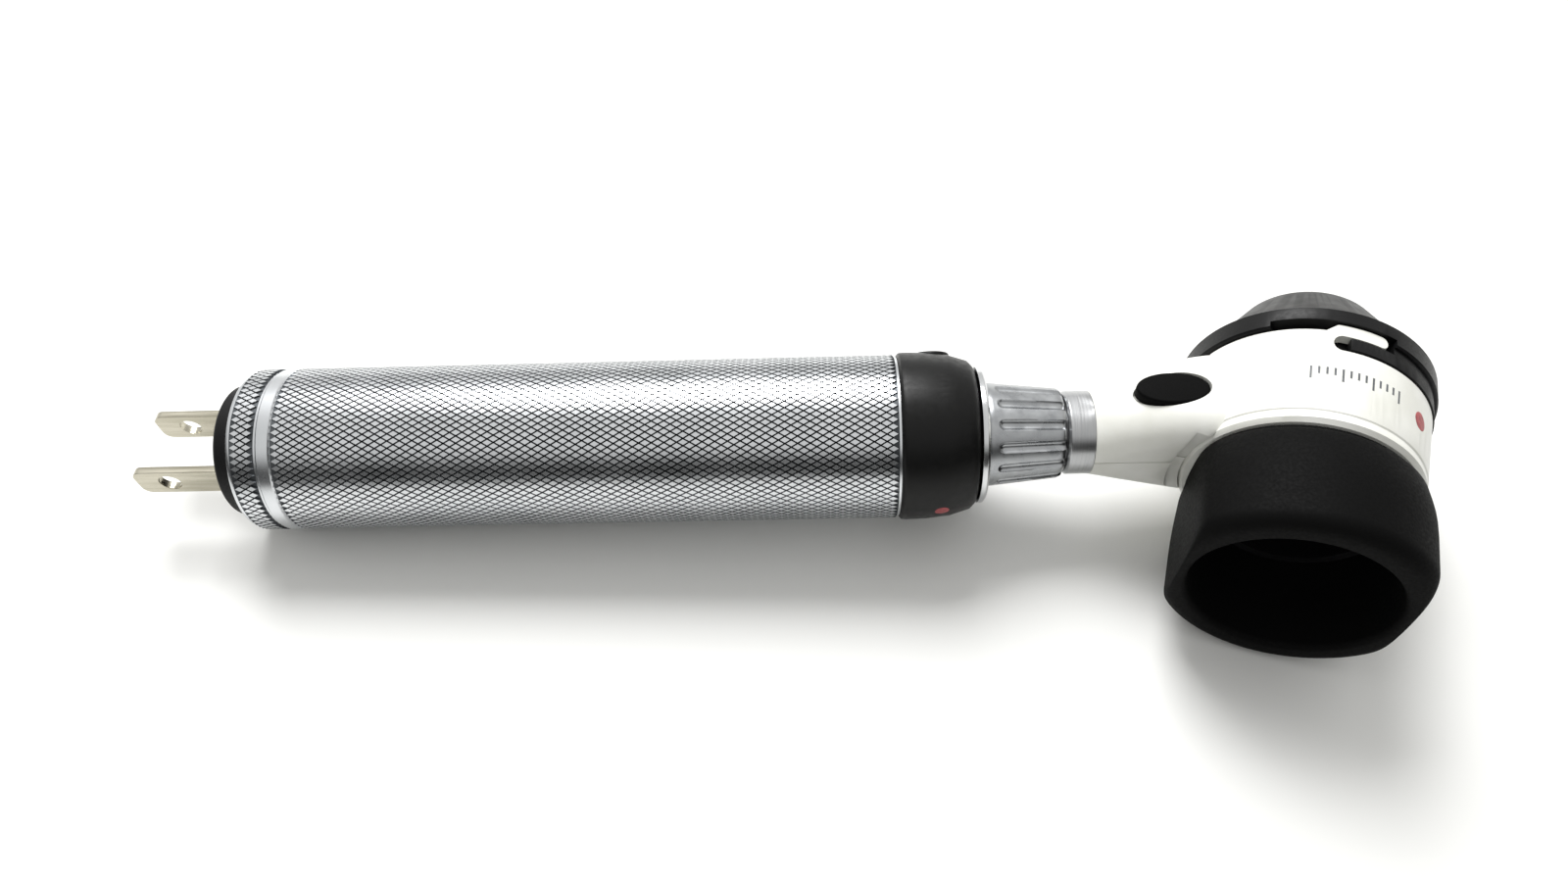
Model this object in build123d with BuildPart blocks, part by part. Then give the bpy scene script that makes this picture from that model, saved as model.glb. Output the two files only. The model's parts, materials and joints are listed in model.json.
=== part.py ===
from build123d import *
import os
from math import asin, atan2, cos, degrees, hypot, radians, sin

# Hand-held skin inspection instrument: an illuminated magnifier head on a rechargeable handle.
# It lies on a table. Millimetres, +Z up, +X from the mains plug to the head, -Y towards the user's eye.
# The origin is under the middle of the object, on the table.

os.makedirs("parts", exist_ok=True)

# ---------------------------------------------------------------- driving dimensions
# Stations along the handle are measured from the outer end of the knurled end ring.
tube_radius = 15.0          # knurled handle
tube_bore = 13.4
ring_length = 5.4           # knurled end ring that holds the plug insert
ring_bore = 12.4
ring_spigot_length = 4.0
tube_end = 118.55           # where the black collar starts
head_reach = 73.9           # from the collar to where the optical axis crosses the handle axis
head_station = tube_end + head_reach
head_lean = 17.0            # how far the optical axis leans from square to the handle
rest_radius = 22.0          # round side of the head, which the object lies on

running_gap = 0.05          # radial clearance of a shaft that turns in its hole
free_gap = 0.3              # clearance between faces that pass each other
face_gap = 0.1              # axial gap between parts that turn against each other

# Mains plug
disc_radius = 12.1
disc_stand = 3.75           # how far the black plug face stands out of the end ring
insert_flange_radius = 13.1
insert_flange_thickness = 2.3
insert_depth = 16.0
blade_length = 18.3         # standard two-pin mains plug
blade_width = 6.35
blade_thickness = 1.5
blade_spacing = 12.7
blade_hole_radius = 2.0
blade_hole_from_tip = 6.2

# Battery
cell_radius = 11.25
cell_length = 43.0
cell_nub_radius = 3.2
cell_nub_length = 1.0
sleeve_wall = 1.3
charger_thickness = 1.6
battery_spring_length = 8.0

# Collar, dial and socket
collar_length = 14.3
flange_thickness = 1.3
flange_radius = 12.6
dial_length = 14.0
dial_rear_radius = 9.6
dial_front_radius = 8.2
dial_flutes = 14
core_radius = 5.6
core_bore = 4.6
pin_radius = 1.6
coupling_length = 4.8
coupling_radius = 7.65
coupling_spigot_radius = 5.9
coupling_spigot_length = 4.45
lock_button_radius = 3.4
lock_button_angle = 60.0    # from straight up towards the back
lock_button_stand = 0.3

# Neck
neck_wall = 1.7
parting_height = 1.0        # parting line above the handle axis where the neck starts
parting_slope = 0.136
parting_gap = 0.22
light_button_reach = 26.15  # from the optical axis back to the button
light_button_length = 12.8
light_button_width = 6.7
light_button_top = 13.0
light_button_travel = 0.8

# Head, measured along the optical axis, positive towards the eye
housing_front = 14.6
housing_front_radius = 20.0
housing_taper = 0.067
housing_bore = 17.5
rim_bore = 19.5
low_rim = -0.6
high_rim = -4.5
hook_top = -6.0
hook_bottom = -3.75
high_wall_end = 65.0        # degrees round the head from the top, towards the handle
hook_tip_angle = 19.0
shelf_front = 5.0
shelf_rear = 2.0
cap_step = -9.2             # where the cap's ring meets its cone
cap_end = -23.0
cap_end_radius = 12.8
cap_cone_radius = 20.6
cap_wall = 2.0
cap_twist = 22.0            # bayonet turn of the contact cap
cap_fill_sweeps = (89.5, 36.5)   # the lower filling stops short of the neck
hook_tip_room = 3.5
spigot_radius = 19.2
spigot_wall = 1.5
glass_radius = 10.7
glass_thickness = 1.6

# Optics and eyepiece
lens_radius = 11.1
lens_clear_radius = 9.7
barrel_radius = 12.6
barrel_rear = -0.5
barrel_length = 15.0
sleeve_radius = 17.4
focus_front = 20.0
eyecup_end = 36.5
eyecup_radius = 22.0
eyecup_lip_radius = 19.0
eyecup_flat = 18.4          # half the width across the eyecup's two flats
board_radius = 17.2
board_bore = 13.4
board_thickness = 1.6
led_size = 2.8
led_height = 1.1
screw_circle = 15.3
screw_radius = 0.8
screw_head_radius = 1.5

# ---------------------------------------------------------------- where the object lies
# The end ring and the round side of the head both touch the table.
reach = hypot(head_station, tube_radius)
handle_tilt = degrees(asin(rest_radius / reach) - atan2(tube_radius, head_station))
tilt_cos = cos(radians(handle_tilt))
tilt_sin = sin(radians(handle_tilt))
lean_cos = cos(radians(head_lean))
lean_sin = sin(radians(head_lean))

blade_tip = -(disc_stand + blade_length)
lowest_x = -(head_station - blade_tip) * tilt_cos
highest_x = rest_radius * lean_cos - cap_step * lean_sin
lowest_y = -(eyecup_end * lean_cos + min(eyecup_lip_radius, eyecup_flat) * lean_sin)
highest_y = -cap_end * lean_cos + (cap_end_radius - 0.8) * lean_sin
head_x = -(lowest_x + highest_x) / 2
head_y = -(lowest_y + highest_y) / 2

handle_direction = Vector(tilt_cos, 0, tilt_sin)
handle_up = Vector(-tilt_sin, 0, tilt_cos)
crossing = Vector(head_x, head_y, rest_radius)
HANDLE = Plane(origin=crossing - handle_direction * head_station, x_dir=handle_up, z_dir=handle_direction)
HANDLE_SIDE = Plane(origin=HANDLE.origin, x_dir=HANDLE.x_dir, z_dir=-HANDLE.y_dir)
HANDLE_AXIS = Axis(HANDLE.origin, HANDLE.z_dir)
HEAD = Plane(origin=crossing, x_dir=(0, 0, 1), z_dir=(-lean_sin, -lean_cos, 0))
HEAD_SIDE = Plane(origin=HEAD.origin, x_dir=HEAD.x_dir, z_dir=-HEAD.y_dir)
HEAD_AXIS = Axis(HEAD.origin, HEAD.z_dir)


# ---------------------------------------------------------------- shared operations
def turned_plane(plane, angle):
    """The same plane turned about its own normal."""
    across = plane.x_dir * cos(radians(angle)) + plane.y_dir * sin(radians(angle))
    return Plane(origin=plane.origin, x_dir=across, z_dir=plane.z_dir)


def turn(outline, side, axis, arc=360.0, mode=Mode.ADD):
    """Turn a closed outline of (radius, station) points about an axis."""
    with BuildSketch(side, mode=Mode.PRIVATE) as face:
        with BuildLine():
            Polyline(*outline, close=True)
        make_face()
    revolve(face.sketch, axis=axis, revolution_arc=arc, mode=mode)


def handle_turn(*outline, mode=Mode.ADD):
    """Turn an outline about the handle axis."""
    turn(outline, HANDLE_SIDE, HANDLE_AXIS, mode=mode)


def head_turn(*outline, start=0.0, arc=360.0, mode=Mode.ADD):
    """Turn an outline about the optical axis, from a start angle towards the handle."""
    frame = turned_plane(HEAD, start)
    side = Plane(origin=frame.origin, x_dir=frame.x_dir, z_dir=-frame.y_dir)
    turn(outline, side, HEAD_AXIS, arc, mode)


def ring_outline(inner, outer, low, high):
    """Outline of a plain ring or disc."""
    return (inner, low), (outer, low), (outer, high), (inner, high)


def drill(plane, radius, low, high, mode=Mode.SUBTRACT):
    """Cut or add a round bar along a plane's normal, from one height to another."""
    with BuildSketch(plane.offset(low), mode=Mode.PRIVATE) as spot:
        Circle(radius)
    extrude(spot.sketch, amount=high - low, mode=mode)


def block(plane, length, width, low, high, mode=Mode.ADD):
    """Add or cut a rectangular block that stands on a plane."""
    with BuildSketch(plane.offset(low), mode=Mode.PRIVATE) as spot:
        Rectangle(length, width)
    extrude(spot.sketch, amount=high - low, mode=mode)


def coil(plane, radius, wire, length, turns, low):
    """Add a wire spring that stands on a plane, a little short of the faces at its two ends."""
    room = length - 2 * wire - 0.1
    base = plane.origin + plane.z_dir * (low + wire + 0.05)
    with BuildLine(mode=Mode.PRIVATE) as path:
        Helix(room / turns, room, radius, center=base, direction=plane.z_dir)
    with BuildSketch(Plane(origin=path.line @ 0, z_dir=path.line % 0), mode=Mode.PRIVATE) as section:
        Circle(wire)
    sweep(section.sketch, path=path.line, is_frenet=True)


def finish(builder, name):
    """Name a finished piece and write it."""
    builder.part.label = name
    export_step(builder.part, f"parts/{name}.step")


def handle_spot(up, front, station):
    """Plane at a point given from the handle axis, facing along the handle."""
    return Plane(origin=HANDLE.from_local_coords((up, front, station)), x_dir=HANDLE.x_dir, z_dir=HANDLE.z_dir)


def upward_spot(front, station):
    """Plane on the handle axis's level that faces up, with its length along the handle."""
    return Plane(origin=HANDLE.from_local_coords((0, front, station)), x_dir=HANDLE.z_dir, z_dir=HANDLE.x_dir)


def round_spot(angle):
    """Plane on the lamp board's hole circle, at an angle round the optical axis from the top."""
    frame = turned_plane(HEAD, angle)
    return Plane(origin=frame.from_local_coords((screw_circle, 0, 0)), x_dir=frame.x_dir, z_dir=frame.z_dir)


def housing_radius(station):
    """Outer radius of the white head at a station along the optical axis."""
    return housing_front_radius + housing_taper * (housing_front - station)


# ---------------------------------------------------------------- handle tube and end ring
with BuildPart() as handle_tube:
    tube_start = ring_length + face_gap
    handle_turn(*ring_outline(tube_bore, tube_radius, tube_start, tube_end))
    chamfer(handle_tube.edges().filter_by(GeomType.CIRCLE).sort_by(HANDLE_AXIS)[:2], 0.2)
finish(handle_tube, "handle_tube")

with BuildPart() as end_ring:
    spigot_end = ring_length + ring_spigot_length
    handle_turn(
        (ring_bore, 0.0),
        (tube_radius - 0.3, 0.0),
        (tube_radius, 0.3),
        (tube_radius, ring_length),
        (tube_bore - running_gap, ring_length),
        (tube_bore - running_gap, spigot_end),
        (ring_bore, spigot_end),
    )
finish(end_ring, "end_ring")

# ---------------------------------------------------------------- plug insert, blades and charger
cavity_radius = 10.6
cavity_start = 4.0
flange_start = spigot_end + face_gap
blade_places = (blade_spacing / 2, -blade_spacing / 2)
with BuildPart() as plug_insert:
    handle_turn(
        (0.0, -disc_stand),
        (disc_radius - 0.5, -disc_stand),
        (disc_radius, 0.5 - disc_stand),
        (disc_radius, flange_start),
        (insert_flange_radius, flange_start),
        (insert_flange_radius, flange_start + insert_flange_thickness),
        (disc_radius, flange_start + insert_flange_thickness),
        (disc_radius, insert_depth),
        (cavity_radius, insert_depth),
        (cavity_radius, cavity_start),
        (0.0, cavity_start),
    )
    for front in blade_places:
        block(handle_spot(0, front, 0), blade_width, blade_thickness, -disc_stand, cavity_start, Mode.SUBTRACT)
finish(plug_insert, "plug_insert")

for name, front in zip(("plug_blade_front", "plug_blade_back"), blade_places):
    with BuildPart() as plug_blade:
        side = Plane(
            origin=HANDLE.from_local_coords((0, front, 0)), x_dir=HANDLE.z_dir, z_dir=HANDLE.y_dir
        )
        with BuildSketch(side.offset(-blade_thickness / 2)) as outline:
            blade_run = insert_depth - blade_tip
            with Locations((blade_tip + blade_run / 2, 0)):
                RectangleRounded(blade_run, blade_width, 1.8)
            with Locations((blade_tip + blade_hole_from_tip, 0)):
                Circle(blade_hole_radius, mode=Mode.SUBTRACT)
        extrude(amount=blade_thickness)
    finish(plug_blade, name)

charger_top = insert_depth + charger_thickness
with BuildPart() as charger_board:
    handle_turn(*ring_outline(0.0, tube_bore - 0.4, insert_depth, charger_top))
finish(charger_board, "charger_board")

with BuildPart() as charger_capacitor:
    block(HANDLE, 9.0, 8.0, insert_depth - 8.0, insert_depth)
    fillet(charger_capacitor.edges().filter_by(Axis(HANDLE.origin, HANDLE.z_dir)), 1.0)
finish(charger_capacitor, "charger_capacitor")

with BuildPart() as charger_diodes:
    for up in (-7.0, 7.0):
        with BuildSketch(handle_spot(up, 0, insert_depth - 2.6)):
            RectangleRounded(2.4, 5.2, 0.4)
        extrude(amount=2.6)
finish(charger_diodes, "charger_diodes")

with BuildPart() as battery_spring:
    coil(HANDLE, 6.5, 0.5, battery_spring_length, 4, charger_top)
finish(battery_spring, "battery_spring")

# ---------------------------------------------------------------- battery
cell_start = charger_top + battery_spring_length
cell_pitch = cell_length + cell_nub_length
for index, name in enumerate(("battery_cell_rear", "battery_cell_front")):
    low = cell_start + index * cell_pitch
    high = low + cell_length
    with BuildPart() as battery_cell:
        handle_turn(
            (0.0, low),
            (cell_radius - 0.6, low),
            (cell_radius, low + 0.6),
            (cell_radius, high - 0.6),
            (cell_radius - 0.6, high),
            (cell_nub_radius, high),
            (cell_nub_radius, high + cell_nub_length),
            (0.0, high + cell_nub_length),
        )
    finish(battery_cell, name)
battery_end = cell_start + 2 * cell_pitch

collar_spigot_length = 10.0
collar_rear = tube_end - collar_spigot_length
with BuildPart() as battery_sleeve:
    handle_turn(
        *ring_outline(cell_radius + 0.1, cell_radius + 0.1 + sleeve_wall, cell_start, collar_rear - 1.0)
    )
finish(battery_sleeve, "battery_sleeve")

# ---------------------------------------------------------------- front contact
pin_head_radius = 4.4
pin_head_thickness = 1.5
pin_head_end = battery_end + pin_head_thickness
core_start = tube_end - 0.55
coupling_start = tube_end + collar_length + flange_thickness + dial_length + 0.6
coupling_end = coupling_start + coupling_length
pin_end = coupling_start + 2.15
core_end = coupling_end - 0.75
with BuildPart() as contact_pin:
    handle_turn(
        (0.0, battery_end),
        (pin_head_radius, battery_end),
        (pin_head_radius, pin_head_end),
        (pin_radius, pin_head_end),
        (pin_radius, pin_end - 0.5),
        (pin_radius - 0.5, pin_end),
        (0.0, pin_end),
    )
finish(contact_pin, "contact_pin")

with BuildPart() as contact_spring:
    coil(HANDLE, 2.6, 0.35, core_start - pin_head_end, 2, pin_head_end)
finish(contact_spring, "contact_spring")

with BuildPart() as core_insulator:
    handle_turn(*ring_outline(pin_radius, core_bore, core_start, core_end - 3.0))
finish(core_insulator, "core_insulator")

with BuildPart() as core_tube:
    handle_turn(
        (core_bore, core_start),
        (core_radius, core_start),
        (core_radius, core_end - 0.4),
        (core_radius - 0.4, core_end),
        (core_bore, core_end),
    )
finish(core_tube, "core_tube")

# ---------------------------------------------------------------- collar and its lock button
collar_front = tube_end + collar_length
lock_station = tube_end + 6.7
lock_radial = (cos(radians(lock_button_angle)), -sin(radians(lock_button_angle)))
LOCK = Plane(
    origin=HANDLE.from_local_coords((0, 0, lock_station)),
    x_dir=HANDLE.z_dir,
    z_dir=HANDLE.x_dir * lock_radial[0] + HANDLE.y_dir * lock_radial[1],
)
lock_pocket_floor = 8.0
lock_button_rear = 11.0
lock_button_front = tube_radius + lock_button_stand
with BuildPart() as collar:
    handle_turn(
        (core_radius, core_start),
        (11.6, core_start),
        (11.6, collar_rear),
        (tube_bore - running_gap, collar_rear),
        (tube_bore - running_gap, tube_end),
        (14.7, tube_end),
        (15.3, tube_end + 0.5),
        (15.4, tube_end + 1.3),
        (15.3, tube_end + 4.9),
        (14.8, tube_end + 9.4),
        (13.7, tube_end + 12.9),
        (12.9, tube_end + 13.7),
        (11.3, collar_front),
        (core_radius, collar_front),
    )
    drill(LOCK, lock_button_radius + 0.1, lock_pocket_floor, tube_radius + 4.0)
finish(collar, "collar")

with BuildPart() as lock_button:
    drill(LOCK, lock_button_radius, lock_button_rear, lock_button_front, Mode.ADD)
    fillet(lock_button.edges().filter_by(GeomType.CIRCLE).sort_by(Axis(LOCK.origin, LOCK.z_dir))[-1], 0.5)
finish(lock_button, "lock_button")

with BuildPart() as lock_button_spring:
    coil(LOCK, 2.2, 0.25, lock_button_rear - lock_pocket_floor, 3, lock_pocket_floor)
finish(lock_button_spring, "lock_button_spring")

with BuildPart() as flange_ring:
    flange_end = collar_front + flange_thickness
    handle_turn(
        (core_radius, collar_front),
        (flange_radius, collar_front),
        (flange_radius, flange_end - 0.4),
        (flange_radius - 0.4, flange_end),
        (core_radius, flange_end),
    )
finish(flange_ring, "flange_ring")

# ---------------------------------------------------------------- brightness dial
dial_start = flange_end + 0.3
dial_end = dial_start + dial_length
dial_cavity = 3.6
track_thickness = 0.8
flute_radius = 1.0
flute_start = dial_start + 1.6
dial_slope = degrees(atan2(dial_rear_radius - dial_front_radius, dial_length))
with BuildPart() as dimmer_track:
    handle_turn(*ring_outline(core_radius, 7.6, flange_end, flange_end + track_thickness))
finish(dimmer_track, "dimmer_track")

with BuildPart() as dimmer_dial:
    handle_turn(
        (8.0, dial_start),
        (dial_rear_radius - 0.4, dial_start),
        (dial_rear_radius, dial_start + 0.4),
        (dial_front_radius, dial_end - 0.9),
        (dial_front_radius - 0.9, dial_end),
        (core_radius + running_gap, dial_end),
        (core_radius + running_gap, dial_start + dial_cavity),
        (8.0, dial_start + dial_cavity),
    )
    for index in range(dial_flutes):
        turned = turned_plane(HANDLE, index * 360.0 / dial_flutes)
        root = turned.from_local_coords((dial_rear_radius + 0.35, 0, flute_start + flute_radius))
        along = turned.z_dir * cos(radians(dial_slope)) - turned.x_dir * sin(radians(dial_slope))
        drill(Plane(origin=root, z_dir=along), flute_radius, 0.0, dial_length)
        with Locations(Location(root)):
            Sphere(flute_radius, mode=Mode.SUBTRACT)
finish(dimmer_dial, "dimmer_dial")

with BuildPart() as dimmer_wiper:
    wiper_low = flange_end + track_thickness + 0.05
    with BuildSketch(HANDLE.offset(wiper_low)):
        with Locations((6.9, 0)):
            RectangleRounded(1.6, 4.0, 0.4)
    extrude(amount=dial_start + dial_cavity - wiper_low)
finish(dimmer_wiper, "dimmer_wiper")

# ---------------------------------------------------------------- steel coupling under the head
coupling_spigot_end = coupling_end + coupling_spigot_length
insulator_radius = 3.1
head_pin_radius = 1.2
with BuildPart() as coupling_ring:
    handle_turn(
        (core_radius + running_gap, coupling_start),
        (coupling_radius - 0.45, coupling_start),
        (coupling_radius, coupling_start + 0.45),
        (coupling_radius, coupling_end),
        (coupling_spigot_radius, coupling_end),
        (coupling_spigot_radius, coupling_spigot_end),
        (insulator_radius, coupling_spigot_end),
        (insulator_radius, core_end + face_gap),
        (core_radius + running_gap, core_end + face_gap),
    )
finish(coupling_ring, "coupling_ring")

with BuildPart() as head_insulator:
    handle_turn(
        *ring_outline(head_pin_radius, insulator_radius, core_end + face_gap, coupling_spigot_end + 1.0)
    )
finish(head_insulator, "head_insulator")

head_pin_end = coupling_spigot_end + 2.4
with BuildPart() as head_contact_pin:
    handle_turn(*ring_outline(0.0, head_pin_radius, pin_end + face_gap, head_pin_end))
finish(head_contact_pin, "head_contact_pin")

# ---------------------------------------------------------------- neck and white head housing
# Each neck section: station, lowest and highest point above the axis, half width, corner radius.
neck_middle = head_station - 31.45
neck_front = head_station - 16.45
neck_sections = (
    (coupling_end, -coupling_radius, coupling_radius, coupling_radius, coupling_radius - 0.05),
    (neck_middle, -8.3, 11.0, 8.3, 6.4),
    (neck_front, -10.3, 13.4, 10.3, 6.8),
)
PARTING = Plane(
    origin=HANDLE.from_local_coords((parting_height, 0, coupling_end)),
    x_dir=HANDLE.y_dir,
    z_dir=HANDLE.x_dir - HANDLE.z_dir * parting_slope,
)


def neck_form(inset):
    """Loft the neck through its sections, each drawn in by the inset."""
    sections = []
    for station, low, high, half_width, corner in neck_sections:
        centre = (low + high) / 2
        height = high - low - 2 * inset
        width = 2 * (half_width - inset)
        round_off = min(corner, height / 2 - 0.05, width / 2 - 0.05)
        with BuildSketch(handle_spot(centre, 0, station), mode=Mode.PRIVATE) as section:
            RectangleRounded(height, width, round_off)
        sections.append(section.sketch)
    with BuildPart(mode=Mode.PRIVATE) as form:
        loft(sections)
        head_turn(*ring_outline(0.0, rest_radius + free_gap, -40.0, high_rim), mode=Mode.SUBTRACT)
        head_turn(*ring_outline(0.0, rest_radius + free_gap, housing_front, 40.0), mode=Mode.SUBTRACT)
    return form.part


def envelope(extra):
    """The head's outer form along the white wall, drawn out by the extra."""
    with BuildPart(mode=Mode.PRIVATE) as form:
        head_turn(
            (0.0, high_rim - 1.0),
            (housing_radius(high_rim - 1.0) + extra, high_rim - 1.0),
            (housing_radius(housing_front + 1.0) + extra, housing_front + 1.0),
            (0.0, housing_front + 1.0),
        )
    return form.part


cover_screw_places = (5.1, -5.1)
cover_screw_station = neck_middle
cover_screw_end = 4.2
post_radius = 1.7
neck_reach = 12.0
neck_outer = neck_form(0.0)
neck_inner = neck_form(neck_wall)
cavity_wall_radius = 20.7
hollow_start = coupling_spigot_end
with BuildPart(mode=Mode.PRIVATE) as hollow_zone:
    drill(HANDLE, rest_radius, hollow_start, neck_front, Mode.ADD)
    head_turn(*ring_outline(0.0, cavity_wall_radius, -30.0, 30.0), mode=Mode.SUBTRACT)
neck_hollow = neck_inner & hollow_zone.part

BUTTON = upward_spot(0, head_station - light_button_reach)
stem_radius = 1.4
switch_top = 6.5
button_floor = 9.7
button_rim_gap = 0.15
wire_radius = 0.5
wire_hole_radius = 0.8
wire_station = 3.4
wire_pad_radius = 15.3
WIRE = Plane(origin=HEAD.from_local_coords((0, 0, wire_station)), x_dir=(0, 0, 1), z_dir=HEAD.y_dir)
GUIDE = Plane(origin=HEAD.from_local_coords((0, 0, 3.5)), x_dir=HEAD.z_dir, z_dir=-HEAD.x_dir)
WIRE_PAD = Plane(origin=HEAD.from_local_coords((0, wire_pad_radius, 0)), x_dir=(0, 0, 1), z_dir=HEAD.z_dir)

# The bayonet hook is drawn flat, seen from above: towards the handle, and along the optical axis.
hook_tip = housing_radius(hook_top) * sin(radians(hook_tip_angle))
hook_half = (hook_bottom - hook_top) / 2
hook_root = 3.4
hook_root_angle = 9.5
slot_round = (low_rim - hook_bottom) / 2
slot_centre = 0.6
guide_pin_radius = 0.7
guide_pin_end = 15.0
ring_guide_start = 10.1
ring_guide_end = 10.9
ring_guide_radius = 18.2


def cut_bayonet(turned):
    """Cut one hook and the rims beside it out of the head's wall, turned about the optical axis."""
    frame = turned_plane(HEAD, turned)
    top = Plane(origin=frame.origin, x_dir=frame.y_dir, z_dir=frame.x_dir)
    tip_middle = hook_half - hook_tip
    beyond = hook_top - 1.0
    with BuildSketch(top.offset(rim_bore - 3.0), mode=Mode.PRIVATE) as slot:
        with BuildLine():
            Polyline((-hook_tip - 2.0, low_rim), (slot_centre, low_rim))
            ThreePointArc(
                (slot_centre, low_rim),
                (slot_centre + slot_round, low_rim - slot_round),
                (slot_centre, hook_bottom),
            )
            Line((slot_centre, hook_bottom), (tip_middle, hook_bottom))
            ThreePointArc((tip_middle, hook_bottom), (-hook_tip, hook_top + hook_half), (tip_middle, hook_top))
            Polyline(
                (tip_middle, hook_top),
                (tip_middle, beyond),
                (-hook_tip - 2.0, beyond),
                (-hook_tip - 2.0, low_rim),
            )
        make_face()
        with BuildLine():
            Polyline(
                (slot_centre + 1.0, hook_top),
                (hook_root, high_rim),
                (hook_root + 0.6, high_rim),
                (hook_root + 0.6, beyond),
                (slot_centre + 1.0, beyond),
                close=True,
            )
        make_face()
    extrude(slot.sketch, amount=8.0, mode=Mode.SUBTRACT)
    head_turn(
        *ring_outline(rim_bore - 1.0, rest_radius + 1.0, beyond, high_rim),
        start=turned + hook_root_angle,
        arc=high_wall_end - hook_root_angle,
        mode=Mode.SUBTRACT,
    )
    head_turn(
        *ring_outline(rim_bore - 1.0, rest_radius + 1.0, beyond, low_rim),
        start=turned + high_wall_end,
        arc=180.0 - high_wall_end - hook_tip_angle - hook_tip_room,
        mode=Mode.SUBTRACT,
    )


boss_clearance = 1.4
bayonet_turns = (0.0, 180.0)
screw_angles = (30.0, 150.0, 270.0)
with BuildPart(mode=Mode.PRIVATE) as roof_bosses:
    for front in cover_screw_places:
        boss = upward_spot(front, cover_screw_station)
        drill(boss, post_radius, parting_height + boss_clearance, neck_reach, Mode.ADD)
    add(neck_outer, mode=Mode.INTERSECT)

with BuildPart(mode=Mode.PRIVATE) as neck_shell:
    add(split(neck_outer, bisect_by=PARTING, keep=Keep.TOP, mode=Mode.PRIVATE))
    head_turn(*ring_outline(0.0, rim_bore + 0.5, -30.0, 30.0), mode=Mode.SUBTRACT)
    add(neck_hollow, mode=Mode.SUBTRACT)
    add(roof_bosses.part)
    for front in cover_screw_places:
        drill(upward_spot(front, cover_screw_station), screw_radius, 0.0, cover_screw_end)
    drill(HANDLE, coupling_spigot_radius, coupling_end, hollow_start)
    with BuildSketch(BUTTON.offset(button_floor)) as pocket:
        Ellipse(light_button_length / 2 + button_rim_gap, light_button_width / 2 + button_rim_gap)
    extrude(amount=10.0, mode=Mode.SUBTRACT)
    drill(BUTTON, stem_radius + running_gap, switch_top, button_floor)
    drill(WIRE, wire_hole_radius, rim_bore, cavity_wall_radius + 3.0)

with BuildPart() as head_housing:
    head_turn(
        (rim_bore, hook_top),
        (housing_radius(hook_top), hook_top),
        (housing_radius(12.2), 12.2),
        (housing_radius(12.2) - 0.25, 12.4),
        (housing_front_radius, 12.7),
        (housing_front_radius, housing_front - 0.7),
        (housing_front_radius - 0.7, housing_front),
        (housing_bore, housing_front),
        (housing_bore, ring_guide_end),
        (ring_guide_radius, ring_guide_end),
        (ring_guide_radius, ring_guide_start),
        (housing_bore, ring_guide_start),
        (housing_bore, shelf_front),
        (barrel_radius + 0.08, shelf_front),
        (barrel_radius + 0.08, shelf_rear),
        (rim_bore, shelf_rear),
    )
    for turned in bayonet_turns:
        cut_bayonet(turned)
    drill(WIRE, wire_hole_radius, wire_pad_radius - wire_hole_radius, cavity_wall_radius + 3.0)
    drill(WIRE_PAD, wire_hole_radius, shelf_rear, wire_station)
    for angle in screw_angles:
        drill(round_spot(angle), screw_radius, shelf_rear, shelf_rear + 2.4)
    drill(GUIDE, guide_pin_radius, barrel_radius - 0.5, guide_pin_end)
    add(neck_shell.part)
finish(head_housing, "head_housing")

# ---------------------------------------------------------------- lower cover of the neck and its screws
board_seat = 2.0
board_low = neck_middle - 0.5
board_high = board_low + 8.3
board_post_front = 2.0
board_post_radius = 1.0
board_post_stations = (board_low + 1.1, board_high - 1.2)
board_post_root = -7.5
cover_screw_seat = -4.6
cover_screw_head = 1.1
socket_radius = 0.55
socket_depth = 0.6
with BuildPart(mode=Mode.PRIVATE) as cover_posts:
    for front in cover_screw_places:
        spot = upward_spot(front, cover_screw_station)
        drill(spot, post_radius, -neck_reach, parting_height - 0.1, Mode.ADD)
    add(neck_outer, mode=Mode.INTERSECT)

with BuildPart() as neck_cover:
    lower = split(neck_outer, bisect_by=PARTING.offset(-parting_gap), keep=Keep.BOTTOM, mode=Mode.PRIVATE)
    add(lower)
    add(neck_hollow, mode=Mode.SUBTRACT)
    drill(HANDLE, coupling_spigot_radius, coupling_end, hollow_start)
    add(envelope(0.1), mode=Mode.SUBTRACT)
    add(cover_posts.part)
    for front in cover_screw_places:
        spot = upward_spot(front, cover_screw_station)
        drill(spot, screw_radius + 0.1, -neck_reach, neck_reach)
        drill(spot, screw_head_radius + 0.1, -neck_reach, cover_screw_seat)
    for station in board_post_stations:
        post = upward_spot(board_post_front, station)
        drill(post, board_post_radius, board_post_root, board_seat, Mode.ADD)
finish(neck_cover, "neck_cover")

with BuildPart() as neck_screws:
    for front in cover_screw_places:
        spot = upward_spot(front, cover_screw_station)
        head_low = cover_screw_seat - cover_screw_head
        drill(spot, screw_radius, cover_screw_seat, cover_screw_end, Mode.ADD)
        drill(spot, screw_head_radius, head_low, cover_screw_seat, Mode.ADD)
        drill(spot, socket_radius, head_low, head_low + socket_depth)
finish(neck_screws, "neck_screws")

# ---------------------------------------------------------------- side light button and its switch
with BuildPart() as light_button:
    with BuildSketch(BUTTON.offset(button_floor + 1.2)):
        Ellipse(light_button_length / 2, light_button_width / 2)
    extrude(amount=light_button_top - button_floor - 1.2)
    fillet(light_button.edges().sort_by(Axis(BUTTON.origin, BUTTON.z_dir))[-1], 0.45)
    drill(BUTTON, stem_radius, switch_top + light_button_travel + 0.1, button_floor + 1.3, Mode.ADD)
finish(light_button, "light_button")

with BuildPart() as light_button_spring:
    coil(BUTTON, 2.3, 0.2, 1.2, 2, button_floor)
finish(light_button_spring, "light_button_spring")

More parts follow.
